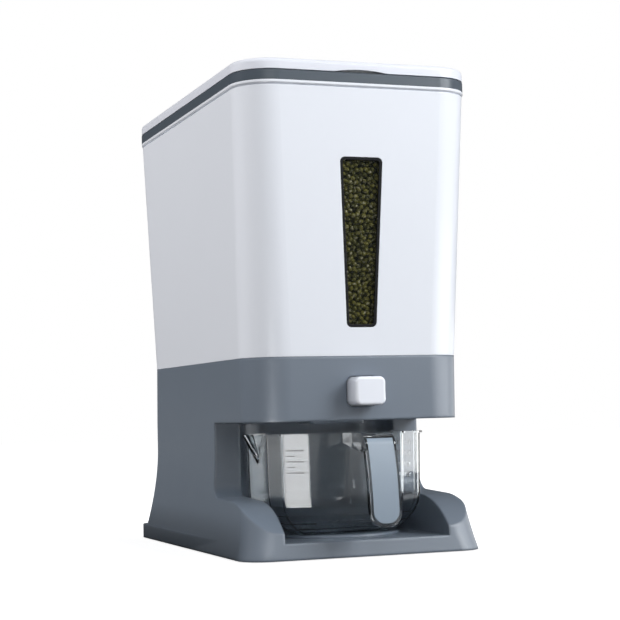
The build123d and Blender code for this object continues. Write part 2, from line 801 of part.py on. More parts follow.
def chute_outline(height, half_width, half_length, grow=0.0):
    """Rounded outline of the chute at a height."""
    with BuildSketch(Plane.XY.offset(height)) as shape:
        with Locations((0, outlet_y)):
            RectangleRounded(2 * (half_width + grow), 2 * (half_length + grow), 3 + grow)
    return shape.sketch


chute_top = rail_bottom
chute_bend = panel_height + base_wall + 1

with BuildPart() as outlet_chute:
    for chute_grow, chute_mode in ((chute_wall, Mode.ADD), (0.0, Mode.SUBTRACT)):
        loft(
            sections=[
                chute_outline(chute_bend, chute_end_half_width, chute_end_half_length, chute_grow),
                chute_outline(chute_top, chute_half_width, chute_half_length, chute_grow),
            ],
            mode=chute_mode,
        )
        extrude(
            chute_outline(chute_end, chute_end_half_width, chute_end_half_length, chute_grow),
            amount=chute_bend - chute_end,
            mode=chute_mode,
        )
        if chute_mode == Mode.ADD:
            extrude(guide_outline(chute_top - chute_flange), amount=chute_flange)
    with BuildSketch(Plane.XY.offset(chute_top - chute_flange)) as chute_bosses:
        with Locations(*gate_screw_spots()):
            Circle(screw_radius + 1.3)
    extrude(amount=guide_bottom - chute_top + chute_flange)
    with Locations(*[(x, y, guide_bottom) for x, y in gate_screw_spots()]):
        Hole(screw_radius, depth=guide_bottom - chute_top)
outlet_chute.part.label = "outlet_chute"
export_step(outlet_chute.part, "parts/outlet_chute.step")

# ---- button: hollow cap, guide sleeve, stem and return spring ----
def button_outline(y, grow=0.0):
    """Rounded outline of the button, on an upright plane that faces the front."""
    with BuildSketch(Plane.XZ.offset(-y)) as shape:
        with Locations((0, button_height)):
            RectangleRounded(
                2 * (button_half_width + grow),
                2 * (button_half_height + grow),
                button_corner + grow,
            )
    return shape.sketch


with BuildPart() as button_cap:
    body = extrude(button_outline(button_front), amount=button_front - button_rear)
    fillet(body.edges().group_by(Axis.Y)[0], button_edge)
    extrude(button_outline(button_rear - cap_flange, cap_flange), amount=-cap_flange)
    extrude(
        button_outline(button_front + button_wall, -button_wall),
        amount=-reach_out,
        mode=Mode.SUBTRACT,
    )
button_cap.part.label = "button_cap"
export_step(button_cap.part, "parts/button_cap.step")

with BuildPart() as button_guide:
    sleeve_grow = cap_flange + slide_gap
    extrude(button_outline(sleeve_front, sleeve_grow + sleeve_wall), amount=sleeve_front - sleeve_end)
    extrude(button_outline(sleeve_front, sleeve_grow + sleeve_wall + 3), amount=-sleeve_wall)
    extrude(
        button_outline(sleeve_front, sleeve_grow),
        amount=sleeve_front - sleeve_end + sleeve_wall,
        mode=Mode.SUBTRACT,
    )
    with BuildSketch(Plane.XZ.offset(-sleeve_front)) as stem_hole:
        with Locations((0, button_height)):
            Circle(stem_radius + stem_gap)
    extrude(amount=-reach_out, mode=Mode.SUBTRACT)
button_guide.part.label = "button_guide"
export_step(button_guide.part, "parts/button_guide.step")

with BuildPart() as button_stem:
    with BuildSketch(Plane.XZ.offset(-button_front - button_wall)) as stem:
        with Locations((0, button_height)):
            Circle(stem_radius)
    extrude(amount=button_front + button_wall - gate_front)
    with BuildSketch(Plane.XZ.offset(-gate_front)) as peg:
        with Locations((0, button_height)):
            Circle(stem_radius - 1)
    extrude(amount=-tab_thickness)
button_stem.part.label = "button_stem"
export_step(button_stem.part, "parts/button_stem.step")

spring_front = button_front + button_wall + wire_radius + 0.1
spring_length = sleeve_end - sleeve_wall - wire_radius - 0.1 - spring_front

with BuildPart() as return_spring:
    with BuildLine() as coil:
        Helix(
            pitch=spring_length / spring_turns,
            height=spring_length,
            radius=spring_radius,
            center=(0, spring_front, button_height),
            direction=(0, 1, 0),
        )
    with BuildSketch(Plane(origin=coil.line @ 0, z_dir=coil.line % 0)) as wire:
        RegularPolygon(wire_radius, 6)
    sweep(path=coil.line)
return_spring.part.label = "return_spring"
export_step(return_spring.part, "parts/return_spring.step")

# ---- measuring cup: faceted front corners, round bottom, spout and drain slots ----
cup_middle = (cup_front + cup_back) / 2
cup_depth = (cup_back - cup_front) / 2


def cup_outline(height, inset):
    """Plan of the cup at a height, with its half width made smaller by the inset."""
    scale_factor = 1 - inset / cup_half_width
    half_width = cup_half_width * scale_factor
    half_depth = cup_depth * scale_factor
    facet_x = facet_width * scale_factor
    facet_y = facet_depth * scale_factor
    corner = [
        (half_width, half_depth - facet_y),
        (half_width - facet_x / 5, half_depth - facet_y / 3),
        (half_width - facet_x, half_depth),
    ]
    turned = [(-x, y) for x, y in reversed(corner)]
    points = corner + turned + [(-x, -y) for x, y in corner] + [(-x, -y) for x, y in turned]
    with BuildSketch(Plane((0, cup_middle, height))) as shape:
        Polygon(*points, align=None)
        fillet(shape.vertices(), facet_softness * scale_factor)
    return shape.sketch


def cup_draft_at(height):
    """How far the cup's side has come in at a height."""
    return cup_draft * (cup_top - height) / (cup_top - cup_bottom)


def cup_sections(wall):
    """Outlines of the cup from its round bottom edge to its rim, inside by a wall."""
    floor = cup_bottom + wall
    radius = cup_bottom_radius - wall
    turns = [radians(90 * step / cup_bottom_steps) for step in range(cup_bottom_steps + 1)]
    heights = [floor + radius * (1 - cos(turn)) for turn in turns]
    rounding = [radius * (1 - sin(turn)) for turn in turns]
    sections = [cup_outline(h, wall + r + cup_draft_at(h)) for h, r in zip(heights, rounding)]
    return sections + [cup_outline(cup_top, wall)]


def spout_outline(height, reach, half_width):
    """Rounded triangle that stands out of the cup's left side."""
    root = -cup_half_width + cup_draft_at(height) + 2
    with BuildSketch(Plane.XY.offset(height)) as shape:
        Polygon(
            (root + 4, cup_middle - half_width),
            (root + 4, cup_middle + half_width),
            (root, cup_middle + half_width),
            (root - reach, cup_middle),
            (root, cup_middle - half_width),
            align=None,
        )
        fillet(shape.vertices().group_by(Axis.X)[0], half_width / 4)
    return shape.sketch


with BuildPart() as cup_shell:
    loft(sections=cup_sections(0.0), ruled=True)
    extrude(cup_outline(cup_top - flange_height, -flange_reach), amount=flange_height)
    loft(
        sections=[
            spout_outline(cup_top - spout_drop, 1.0, spout_half_width / 4),
            spout_outline(cup_top, spout_reach + 2, spout_half_width),
        ],
        ruled=True,
    )
    loft(
        sections=[
            spout_outline(cup_top - spout_drop + 2 * cup_wall, 1.0 - cup_wall, spout_half_width / 4 - 1),
            spout_outline(cup_top, spout_reach + 2 - 1.2 * cup_wall, spout_half_width - cup_wall),
        ],
        ruled=True,
        mode=Mode.SUBTRACT,
    )
    loft(sections=cup_sections(cup_wall), ruled=True, mode=Mode.SUBTRACT)
    with BuildSketch(Plane.YZ.offset(cup_half_width / 2)) as drain_slots:
        with Locations((drain_centre, drain_centre_height)):
            with GridLocations(drain_pitch_y, drain_pitch_z, drain_columns, drain_rows):
                RectangleRounded(drain_width, drain_height, 1.0)
    extrude(amount=cup_half_width, mode=Mode.SUBTRACT)
cup_shell.part.label = "cup_shell"
export_step(cup_shell.part, "parts/cup_shell.step")

# ---- cup handle and its inlay ----
handle_root = cup_front - flange_reach - 0.1


def handle_strip(front_shift, back_shift, low, high):
    """Side view of a strip that follows the handle's front between two heights."""
    with BuildSketch(Plane.YZ) as shape:
        with BuildLine():
            foot_line = Line(
                (handle_bottom_reach + front_shift, handle_bottom),
                (handle_bottom_reach + back_shift, handle_bottom),
            )
            crowns = []
            for shift, end in ((front_shift, 0), (back_shift, 1)):
                start = (handle_crown_start + shift, handle_top)
                bend = JernArc(start, (-1, 0), handle_crown_radius, handle_crown_turn)
                TangentArc(bend @ 1, foot_line @ end, tangent=bend % 1)
                crowns.append(bend)
            Line(crowns[0] @ 0, crowns[1] @ 0)
        make_face()
        with Locations((handle_bottom_reach, (low + high) / 2)):
            Rectangle(reach_out, high - low, mode=Mode.INTERSECT)
    return shape.sketch


with BuildPart() as inlay_pocket:
    pocket_depth = inlay_recess + inlay_thickness + inlay_gap
    pocket_bottom = inlay_bottom - inlay_gap
    pocket_top = inlay_top + inlay_gap
    pocket_side = handle_strip(-handle_thickness, pocket_depth, pocket_bottom, pocket_top)
    extrude(pocket_side, amount=handle_half_width - inlay_inset + inlay_gap, both=True)
    pocket_tip = inlay_pocket.edges().filter_by(Axis.Y).group_by(Axis.Z)[0]
    fillet(pocket_tip, handle_tip_radius - inlay_inset + inlay_gap)

with BuildPart() as cup_handle:
    with BuildSketch(Plane.YZ) as side_view:
        with BuildLine():
            top_line = Line((handle_root, handle_top), (handle_crown_start, handle_top))
            crown = JernArc(top_line @ 1, top_line % 1, handle_crown_radius, handle_crown_turn)
            grip = TangentArc(crown @ 1, (handle_bottom_reach, handle_bottom), tangent=crown % 1)
            offset(amount=handle_thickness, side=Side.LEFT, closed=True)
        make_face()
        Polygon(
            (handle_root, handle_top),
            (handle_root, handle_top - handle_root_height),
            (handle_crown_start, handle_top - handle_gusset),
            crown @ 1,
            (handle_crown_start, handle_top),
            align=None,
        )
    extrude(amount=handle_half_width, both=True)
    tip_edges = cup_handle.faces().sort_by(Axis.Z)[0].edges().sort_by(Axis.X)
    fillet([tip_edges[0], tip_edges[-1]], handle_tip_radius)
    add(inlay_pocket.part, mode=Mode.SUBTRACT)
cup_handle.part.label = "cup_handle"
export_step(cup_handle.part, "parts/cup_handle.step")

with BuildPart() as handle_inlay:
    inlay_side = handle_strip(inlay_recess, inlay_recess + inlay_thickness, inlay_bottom, inlay_top)
    extrude(inlay_side, amount=handle_half_width - inlay_inset, both=True)
    inlay_tip = handle_inlay.edges().filter_by(Axis.Y).group_by(Axis.Z)[0]
    fillet(inlay_tip, handle_tip_radius - inlay_inset)
handle_inlay.part.label = "handle_inlay"
export_step(handle_inlay.part, "parts/handle_inlay.step")
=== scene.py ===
"""Looks of a rice dispenser: finishes for its moulded pieces, the beans behind its
window, the marks on its cup, and a plain studio."""

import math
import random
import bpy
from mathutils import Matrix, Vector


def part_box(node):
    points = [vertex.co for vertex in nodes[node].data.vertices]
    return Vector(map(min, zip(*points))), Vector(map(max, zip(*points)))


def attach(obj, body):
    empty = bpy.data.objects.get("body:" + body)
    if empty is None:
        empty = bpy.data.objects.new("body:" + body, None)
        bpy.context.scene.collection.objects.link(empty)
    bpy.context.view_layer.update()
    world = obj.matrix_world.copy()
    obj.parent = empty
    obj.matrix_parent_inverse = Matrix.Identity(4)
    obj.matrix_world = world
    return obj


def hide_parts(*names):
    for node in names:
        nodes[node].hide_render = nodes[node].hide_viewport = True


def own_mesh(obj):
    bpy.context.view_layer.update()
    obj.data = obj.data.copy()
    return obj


bl_info = {
    "name": "Rice Dispenser Looks",
    "version": (1, 0, 0),
    "blender": (4, 5, 0),
    "location": "3D View > Sidebar > Dispenser",
    "description": "Finishes a rice dispenser, fills it with beans and sets it in a studio",
    "category": "Object",
}

import bmesh
import bpy
from bpy.props import (
    BoolProperty,
    FloatProperty,
    FloatVectorProperty,
    IntProperty,
    PointerProperty,
)
from mathutils import Euler, Matrix, Vector
from mathutils.kdtree import KDTree

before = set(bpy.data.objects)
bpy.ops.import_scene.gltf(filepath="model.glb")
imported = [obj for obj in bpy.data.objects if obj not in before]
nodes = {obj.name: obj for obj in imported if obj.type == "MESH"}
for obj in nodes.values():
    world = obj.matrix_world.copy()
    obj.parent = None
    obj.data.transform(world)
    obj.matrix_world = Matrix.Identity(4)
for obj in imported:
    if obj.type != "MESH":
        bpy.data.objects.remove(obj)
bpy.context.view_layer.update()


# ---- sizes of the object that the new pieces keep to, in metres ----

ROOM_WALL = 0.0052  # the bin's wall, and a little play
ROOM_TAPER_SIDE = 0.0071  # how far the bin's sides, front and rear stand in at its foot
ROOM_TAPER_FRONT = 0.0141
ROOM_TAPER_REAR = 0.0111
ROOM_CORNER = 0.026
PANE_THICKNESS = 0.002
PANE_GAP = 0.0002  # between the pane's back and the beans
PANE_PAST_SIDES = 0.003  # how far the beans reach past the pane's sides, top and foot
PANE_PAST_ENDS = 0.004
CUP_BOTTOM_BEND = (0.056, 0.030)  # heights between which the cup's wall turns under

# ---- how beans lie ----

BEAN_FLATNESS = 0.96  # a bean's depth, as a share of its width
BEAN_SIZES = (0.90, 1.08)  # smallest and largest bean, as shares of the mean
WINDOW_NUDGE = (0.5, 0.5, 0.5)  # how far chance moves a bean, in distances of neighbours
HEAP_NUDGE = (0.3, 0.3, 0.2)
EASE = 0.25  # share of a missing distance that each bean makes up in a round
ROW_SHARE = 0.87  # distance of rows, as a share of the beans' spacing
LAYER_SHARE = 0.82
BED_CORNER = 0.024  # keeps the bed inside the bin's own round corners
BED_SIDE_GAP = 0.003  # between the bed's edge and the bin's wall
BED_END_GAP = 0.010
BED_SHIFT = 0.004  # the bed's top stands back, behind the beans at the window
BED_DROP = 0.6  # depth of the bed's top under the loose beans, in widths of a bean
BED_LEVELS = (  # height, share of the room's width and length, shift to the rear
    (0.236, 0.95, 0.93, 0.002),
    (0.166, 0.52, 0.40, -0.078),
)

# ---- how the marks lie on the cup ----

MARK_FACET = (-0.0486, -0.133)  # the facet's middle, seen from above
MARK_SIGHT = (-0.095, -0.220)  # a place before the facet, from which its wall is found
MARK_START = 0.0068  # from the facet's middle to where each mark starts
MARK_DEPTH = 0.00012  # half of it stands out of the wall
MARK_EDGE = 0.00004

# ---- plastic ----

PLASTIC_IOR = 1.49

# ---- the studio: its ground, the light from all round, its lamps and its flag ----

FLOOR_GLOW = 0.86  # with the light that falls on it, the floor shows white
FLOOR_SHADES = ((0.49, 0.49, 0.49, 1.0), (0.51, 0.51, 0.51, 1.0))
# painted shade: round the object the floor is nearly black for all rays but those that see the
# ground
FLOOR_PAINTED_SHADE = (0.02, 0.02, 0.02, 1.0)  # so the floor throws little light up at the object
FLOOR_PAINTED_SHADE_RADIUS = 1.6
FLOOR_RADIUS = 6.0
WHITE = (1.0, 1.0, 1.0, 1.0)
BLACK = (0.0, 0.0, 0.0, 1.0)
FILL_TINT = (0.97, 0.98, 1.0, 1.0)
FILL_FADE = (-0.1, 0.95)  # Y of the directions between which it fades to the rear
FILL_REAR = 0.2  # share of it that is left there
RIGHT_TINT = (0.95, 0.98, 1.0)
LAMP_TARGET = (0.0, 0.0, 0.20)
LAMP_SIZE = (1.2, 1.2)
LAMPS = {  # place, target, and width and height
    "right_light": ((1.45, -1.60, 1.30), LAMP_TARGET, LAMP_SIZE),
    "front_light": ((-0.35, -2.10, 1.30), LAMP_TARGET, LAMP_SIZE),
    "left_light": ((-2.15, 0.50, 1.50), LAMP_TARGET, LAMP_SIZE),
    "left_card": ((-0.232, -0.388, 0.048), (-0.049, -0.132, 2.0), (0.062, 0.53)),
    "right_card": ((0.70, -0.48, 0.13), (0.06, -0.15, 0.12), (0.75, 0.24)),
    "side_card": ((0.44, 0.02, 0.10), (0.02, -0.17, 0.06), (0.26, 0.18)),
}
FLAG_PLACE = (-0.158, 0.09, 0.0375)
FLAG_SIZE = (0.002, 0.44, 0.045)


# ---- sizes and colours that a user would change ----


def colour_property(name, description, default):
    """A colour, in linear values from 0 to 1."""
    return FloatVectorProperty(
        name=name, description=description, default=default, subtype="COLOR", min=0.0, max=1.0
    )


def length_property(name, description, default):
    """A length in metres, shown in the scene's unit."""
    return FloatProperty(
        name=name, description=description, default=default, unit="LENGTH", precision=4
    )


def angle_property(name, description, degrees):
    """An angle, given in degrees."""
    return FloatProperty(
        name=name, description=description, default=math.radians(degrees), subtype="ANGLE"
    )


def power_property(name, description, default):
    """The power of a lamp in watts."""
    return FloatProperty(name=name, description=description, default=default, min=0.0)


class DispenserColours(bpy.types.PropertyGroup):
    """Colours of the moulded pieces"""

    housing: colour_property("Housing", "Base, its floor, cup's rest, chute", (0.140, 0.170, 0.212))
    band: colour_property("Band", "Frame between bin and lid", (0.066, 0.083, 0.104))
    bin: colour_property("Bin", "Outside of the bin", (0.80, 0.82, 0.875))
    # the lid's white is darker than the bin's: painted shade that tempers the stronger light on the
    # lid's upturned front
    lid: colour_property("Lid", "Outside of the lid", (0.75, 0.765, 0.83))
    button: colour_property("Button", "Push button", (0.83, 0.85, 0.91))
    bezel: colour_property("Bezel", "Frame of the window", (0.006, 0.006, 0.007))
    inside: colour_property("Inside", "Funnel and lid lining", (0.74, 0.75, 0.77))
    mechanism: colour_property("Mechanism", "Gate, guides and button's stem", (0.38, 0.40, 0.43))
    inlay: colour_property("Inlay", "Strip in the cup's handle", (0.255, 0.310, 0.375))
    clear: colour_property("Clear plastic", "Tint of the cup", (0.87, 0.90, 0.92))
    pane: colour_property("Pane", "Tint of the window's pane", (0.03, 0.035, 0.03))
    rubber: colour_property("Rubber", "Feet", (0.02, 0.02, 0.022))
    seal: colour_property("Seal", "Soft seal under the lid", (0.62, 0.63, 0.64))
    steel: colour_property("Steel", "Screws, pins and spring", (0.60, 0.60, 0.58))
    bean_dark: colour_property("Dark bean", "Darkest bean", (0.043, 0.043, 0.006))
    bean_light: colour_property("Light bean", "Lightest bean", (0.160, 0.148, 0.028))
    bean_scar: colour_property("Bean scar", "Scar of a bean's stalk", (0.34, 0.32, 0.22))
    print: colour_property("Print", "Marks on the cup", (0.34, 0.36, 0.39))


class BeanSizes(bpy.types.PropertyGroup):
    """Sizes of the beans and of their heap"""

    length: length_property("Length", "Mean length of a bean", 0.0051)
    width: length_property("Width", "Mean width of a bean", 0.0039)
    spacing: length_property("Spacing", "Distance between neighbours", 0.0042)
    window_depth: length_property("Depth at window", "Depth of loose beans behind the pane", 0.009)
    heap_edge: length_property("Heap edge", "Height of the heap at the walls", 0.313)
    heap_rise: length_property("Heap rise", "How far the heap's middle stands higher", 0.014)
    seed: IntProperty(name="Seed", description="Seed of the beans' places", default=7)


class MarkSizes(bpy.types.PropertyGroup):
    """Sizes of the marks printed on the cup"""

    rows: IntProperty(name="Rows", description="Number of long marks", default=3, min=1)
    pitch: length_property("Pitch", "Distance between long marks", 0.0085)
    top: length_property("Top", "Height of the highest long mark", 0.0815)
    long_mark: length_property("Long mark", "Length of a long mark", 0.0135)
    short_mark: length_property("Short mark", "Length of a short mark", 0.0065)
    thickness: length_property("Thickness", "Height of a mark", 0.0008)


class StudioSizes(bpy.types.PropertyGroup):
    """Camera and light of the studio"""

    camera: FloatVectorProperty(
        name="Camera",
        description="Camera's place",
        default=(-0.45898, -1.28029, 0.10983),
        unit="LENGTH",
    )
    yaw: angle_property("Yaw", "Turn to the right", 20.347)
    pitch: angle_property("Pitch", "Tilt up", 3.699)
    roll: angle_property("Roll", "Turn about the view", 1.446)
    lens: FloatProperty(name="Lens", description="Focal length in millimetres", default=92.51)
    fill: FloatProperty(
        name="Fill", description="Strength of the light from all round", default=0.44, min=0.0
    )
    right: power_property("Right", "Power of the right light in watts", 47.0)
    front: power_property("Front", "Power of the front light in watts", 9.0)
    left: power_property("Left", "Power of the left light in watts", 43.0)
    left_card: power_property("Left card", "Power of the card mirrored in the cup, in watts", 0.72)
    right_card: power_property(
        "Right card", "Power of the card mirrored in the panel, in watts", 2.2
    )
    side_card: power_property(
        "Side card", "Power of the card mirrored in the panel's corner, in watts", 0.20
    )
    white_ground: BoolProperty(
        name="White ground", description="Show floor and background as plain white", default=True
    )


# ---- helpers for materials ----


class Shading:
    """Short calls that build one tree of shader nodes."""

    def __init__(self, tree):
        self.tree = tree

    def add(self, kind, **values):
        """A new node with its settings and the values of its inputs."""
        node = self.tree.nodes.new(kind)
        for key, value in values.items():
            if key in node.inputs:
                node.inputs[key].default_value = value
            else:
                setattr(node, key, value)
        return node

    def join(self, source, target):
        """A link from an output to an input."""
        self.tree.links.new(source, target)

    def place(self):
        """Places on the piece itself, in metres."""
        return self.add("ShaderNodeTexCoord").outputs["Object"]

    def along(self, axis, place):
        """One coordinate of a place."""
        split = self.add("ShaderNodeSeparateXYZ")
        self.join(place, split.inputs[0])
        return split.outputs[axis]

    def noise(self, place, **values):
        """A noise texture read at a place."""
        texture = self.add("ShaderNodeTexNoise", **values)
        self.join(place, texture.inputs["Vector"])
        return texture.outputs["Fac"]

    def span(self, source, start, end, source_start=0.0, source_end=1.0, **values):
        """A value that runs from start to end as its source does."""
        node = self.add("ShaderNodeMapRange", **values)
        node.inputs["From Min"].default_value = source_start
        node.inputs["From Max"].default_value = source_end
        node.inputs["To Min"].default_value = start
        node.inputs["To Max"].default_value = end
        self.join(source, node.inputs["Value"])
        return node.outputs["Result"]

    def math(self, operation, first, second, clamp=False):
        """Arithmetic on two values, each of them an output or a number."""
        node = self.add("ShaderNodeMath", operation=operation, use_clamp=clamp)
        for value, target in zip((first, second), node.inputs):
            if isinstance(value, float):
                target.default_value = value
            else:
                self.join(value, target)
        return node.outputs["Value"]

    def mix(self, factor, first, second, **values):
        """A mix of two colours, each of them an output or a colour."""
        node = self.add("ShaderNodeMix", data_type="RGBA", **values)
        for value, key in ((factor, "Factor"), (first, "A"), (second, "B")):
            if isinstance(value, (float, tuple)):
                node.inputs[key].default_value = value
            else:
                self.join(value, node.inputs[key])
        return node.outputs["Result"]

    def bump(self, height, target, **values):
        """Bumps of a height, led into a shader's normal."""
        node = self.add("ShaderNodeBump", **values)
        self.join(height, node.inputs["Height"])
        self.join(node.outputs["Normal"], target.inputs["Normal"])
        return node

    def sees_ground(self, depth):
        """1 for the rays that see the white ground: the camera's, and those sent through
        clear plastic to what lies behind the object."""
        path = self.add("ShaderNodeLightPath")
        behind = self.math("GREATER_THAN", depth, 0.0)
        through = self.math("MULTIPLY", path.outputs["Is Transmission Ray"], behind)
        return self.math("MAXIMUM", path.outputs["Is Camera Ray"], through)


def new_material(name):
    """A material, its shader, and the short calls on its nodes."""
    made = bpy.data.materials.new(name)
    made.use_nodes = True
    return made, made.node_tree.nodes["Principled BSDF"], Shading(made.node_tree)


def shades(colour, spread):
    """The darker and the lighter of two shades about a colour."""
    return [(*(min(1.0, part * (1 + sign * spread)) for part in colour), 1.0) for sign in (-1, 1)]


def moulded(
    name,
    colour,
    roughness,
    edge=0.0006,
    depth=0.00002,
    spread=0.025,
    patches=22.0,
    wear=0.15,
    specular=0.5,
    alpha=1.0,
):
    """Moulded plastic: soft edges and fine even grain, with faint patches of shade and gloss."""
    made, shader, paint = new_material(name)
    place = paint.place()
    patch = paint.noise(place, Scale=patches, Detail=3.0, Roughness=0.6)
    fine = paint.noise(place, Scale=2600.0, Detail=2.0, Roughness=0.5)
    paint.join(paint.mix(patch, *shades(colour, spread)), shader.inputs["Base Color"])
    gloss = paint.span(patch, roughness * (1 - wear), roughness * (1 + wear))
    paint.join(gloss, shader.inputs["Roughness"])
    bump = paint.bump(fine, shader, Strength=0.35, Distance=depth)
    soft_edge = paint.add("ShaderNodeBevel", samples=6, Radius=edge)
    paint.join(soft_edge.outputs["Normal"], bump.inputs["Normal"])
    shader.inputs["IOR"].default_value = PLASTIC_IOR
    shader.inputs["Specular IOR Level"].default_value = specular
    shader.inputs["Alpha"].default_value = alpha
    return made


def smooth_white(name, colour):
    """Smooth white moulded plastic, almost without patches."""
    return moulded(name, colour, roughness=0.28, spread=0.004, patches=30.0, wear=0.04)


def clear_plastic(name, colour, roughness, waviness):
    """Clear moulded plastic, a little wavy where it flowed into its mould, most of all near
    the bottom."""
    made, shader, paint = new_material(name)
    place = paint.place()
    flow = paint.noise(place, Scale=42.0, Detail=2.0, Roughness=0.4, Distortion=0.6)
    ripple = paint.noise(place, Scale=130.0, Detail=1.0, Roughness=0.5, Distortion=0.8)
    scuffs = paint.noise(place, Scale=900.0, Detail=4.0, Roughness=0.7)
    near_bottom = paint.span(paint.along("Z", place), 0.0, 1.0, *CUP_BOTTOM_BEND)
    waves = paint.math("ADD", flow, paint.math("MULTIPLY", ripple, near_bottom))
    paint.bump(waves, shader, Strength=0.6, Distance=waviness)
    paint.join(paint.span(scuffs, roughness * 0.4, roughness * 1.6), shader.inputs["Roughness"])
    shader.inputs["Base Color"].default_value = (*colour, 1.0)
    shader.inputs["Transmission Weight"].default_value = 1.0
    shader.inputs["IOR"].default_value = PLASTIC_IOR
    return made


def rubber(name, colour):
    """Soft matt rubber with a dusty bloom."""
    made, shader, paint = new_material(name)
    bloom = paint.noise(paint.place(), Scale=160.0, Detail=5.0, Roughness=0.65)
    paint.join(paint.mix(bloom, *shades(colour, 0.25)), shader.inputs["Base Color"])
    paint.bump(bloom, shader, Strength=0.4, Distance=0.00005)
    shader.inputs["Roughness"].default_value = 0.75
    return made


def plated(name, colour):
    """Zinc-plated steel, faintly drawn and spangled."""
    made, shader, paint = new_material(name)
    spangle = paint.add("ShaderNodeTexVoronoi", Scale=1400.0)
    paint.join(paint.place(), spangle.inputs["Vector"])
    paint.join(paint.span(spangle.outputs["Distance"], 0.28, 0.46), shader.inputs["Roughness"])
    shader.inputs["Base Color"].default_value = (*colour, 1.0)
    shader.inputs["Metallic"].default_value = 1.0
    return made


def bean_skin(name, dark, light, scar):
    """Shiny bean skins, each bean of its own shade, with the pale scar of its stalk."""
    made, shader, paint = new_material(name)
    own_shade = paint.add("ShaderNodeAttribute", attribute_name="bean_shade").outputs["Fac"]
    scarred = paint.add("ShaderNodeAttribute", attribute_name="bean_scar").outputs["Fac"]
    speckle = paint.add("ShaderNodeTexNoise", Scale=1500.0, Detail=3.0, Roughness=0.6)
    paint.join(paint.place(), speckle.inputs["Vector"])
    plain = paint.mix(own_shade, (*dark, 1.0), (*light, 1.0))
    freckled = paint.mix(0.35, plain, speckle.outputs["Color"], blend_type="MULTIPLY")
    paint.join(paint.mix(scarred, freckled, (*scar, 1.0)), shader.inputs["Base Color"])
    paint.bump(speckle.outputs["Fac"], shader, Strength=0.3, Distance=0.00003)
    shader.inputs["Roughness"].default_value = 0.30
    shader.inputs["Specular IOR Level"].default_value = 0.2
    return made


def finish(material, *names):
    """Gives a material to CAD nodes."""
    for name in names:
        slots = nodes[name].data.materials
        slots.clear()
        slots.append(material)


# ---- helpers for new pieces ----


def mesh_object(name, shape, material, smooth=True):
    """Turns a finished shape into an object of the scene."""
    mesh = bpy.data.meshes.new(name)
    shape.to_mesh(mesh)
    shape.free()
    mesh.materials.append(material)
    mesh.polygons.foreach_set("use_smooth", [smooth] * len(mesh.polygons))
    made = bpy.data.objects.new(name, mesh)
    bpy.context.scene.collection.objects.link(made)
    return made


def bean_mould(sizes):
    """Mesh of one plump bean about the origin, with its scar marked."""
    shape = bmesh.new()
    bmesh.ops.create_uvsphere(shape, u_segments=8, v_segments=5, radius=0.5)
    size = (sizes.width, sizes.width * BEAN_FLATNESS, sizes.length)
    bmesh.ops.scale(shape, verts=shape.verts, vec=size)
    shape.verts.ensure_lookup_table()
    scar = shape.verts.layers.float.new("bean_scar")
    shape.verts.layers.float.new("bean_shade")
    side = min(shape.verts, key=lambda vert: (vert.co.y, abs(vert.co.z)))
    side[scar] = 1.0
    mesh = bpy.data.meshes.new("bean_mould")
    shape.to_mesh(mesh)
    shape.free()
    return mesh


def nudge(spots, dice, step, reach):
    """Moves each spot by chance, by up to its reach in steps along each axis."""
    return [
        spot + Vector([dice.uniform(-part, part) * step for part in reach]) for spot in spots
    ]


def settle(spots, least, rounds):
    """Eases spots apart until neighbours keep about the least distance."""
    longest = least / 8
    for _ in range(rounds):
        tree = KDTree(len(spots))
        for index, spot in enumerate(spots):
            tree.insert(spot, index)
        tree.balance()
        moved = []
        for index, spot in enumerate(spots):
            push = Vector()
            for other, number, distance in tree.find_range(spot, least):
                if number != index and distance > 0:
                    push += (spot - other) * (EASE * (least - distance) / distance)
            if push.length > longest:
                push *= longest / push.length
            moved.append(spot + push)
        spots = moved
    return spots


def pour(name, spots, mould, dice, material):
    """One piece of beans, one at each spot, each turned, sized and shaded by the dice."""
    bean = mould.copy()
    rest = [part for vert in mould.vertices for part in vert.co]
    heap = bmesh.new()
    for spot in spots:
        turn = Euler([dice.uniform(0, math.tau) for _ in range(3)]).to_matrix().to_4x4()
        size = Matrix.Diagonal([dice.uniform(*BEAN_SIZES) for _ in range(3)]).to_4x4()
        bean.vertices.foreach_set("co", rest)
        bean.transform(Matrix.Translation(spot) @ turn @ size)
        shade = [dice.random()] * len(bean.vertices)
        bean.attributes["bean_shade"].data.foreach_set("value", shade)
        heap.from_mesh(bean)
    bpy.data.meshes.remove(bean)
    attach(mesh_object(name, heap, material), "frame")


# ---- operators, one for each piece or group of like pieces ----


class DISPENSER_OT_housing(bpy.types.Operator):
    """Finish the base, its floor, the cup's rest and the chute in satin grey"""

    bl_idname = "dispenser.housing"
    bl_label = "Finish Housing"

    def execute(self, context):
        colours = context.scene.dispenser_colours
        satin = moulded(
            "satin_grey", colours.housing, roughness=0.36, edge=0.003, specular=0.8
        )
        finish(satin, "base_housing", "base_floor", "cup_rest", "outlet_chute")
        return {"FINISHED"}


class DISPENSER_OT_bin(bpy.types.Operator):
    """Finish the bin, and the grey band on its mouth"""

    bl_idname = "dispenser.bin"
    bl_label = "Finish Bin"

    def execute(self, context):
        colours = context.scene.dispenser_colours
        finish(smooth_white("gloss_white", colours.bin), "hopper_body")
        finish(moulded("band_grey", colours.band, roughness=0.30, spread=0.02), "rim_frame")
        return {"FINISHED"}


class DISPENSER_OT_lid(bpy.types.Operator):
    """Finish the lid, its lining and its seal"""

    bl_idname = "dispenser.lid"
    bl_label = "Finish Lid"

    def execute(self, context):
        colours = context.scene.dispenser_colours
        finish(smooth_white("lid_white", colours.lid), "lid_panel")
        finish(moulded("lining_white", colours.inside, roughness=0.45), "lid_liner")
        finish(rubber("seal_silicone", colours.seal), "lid_seal")
        return {"FINISHED"}


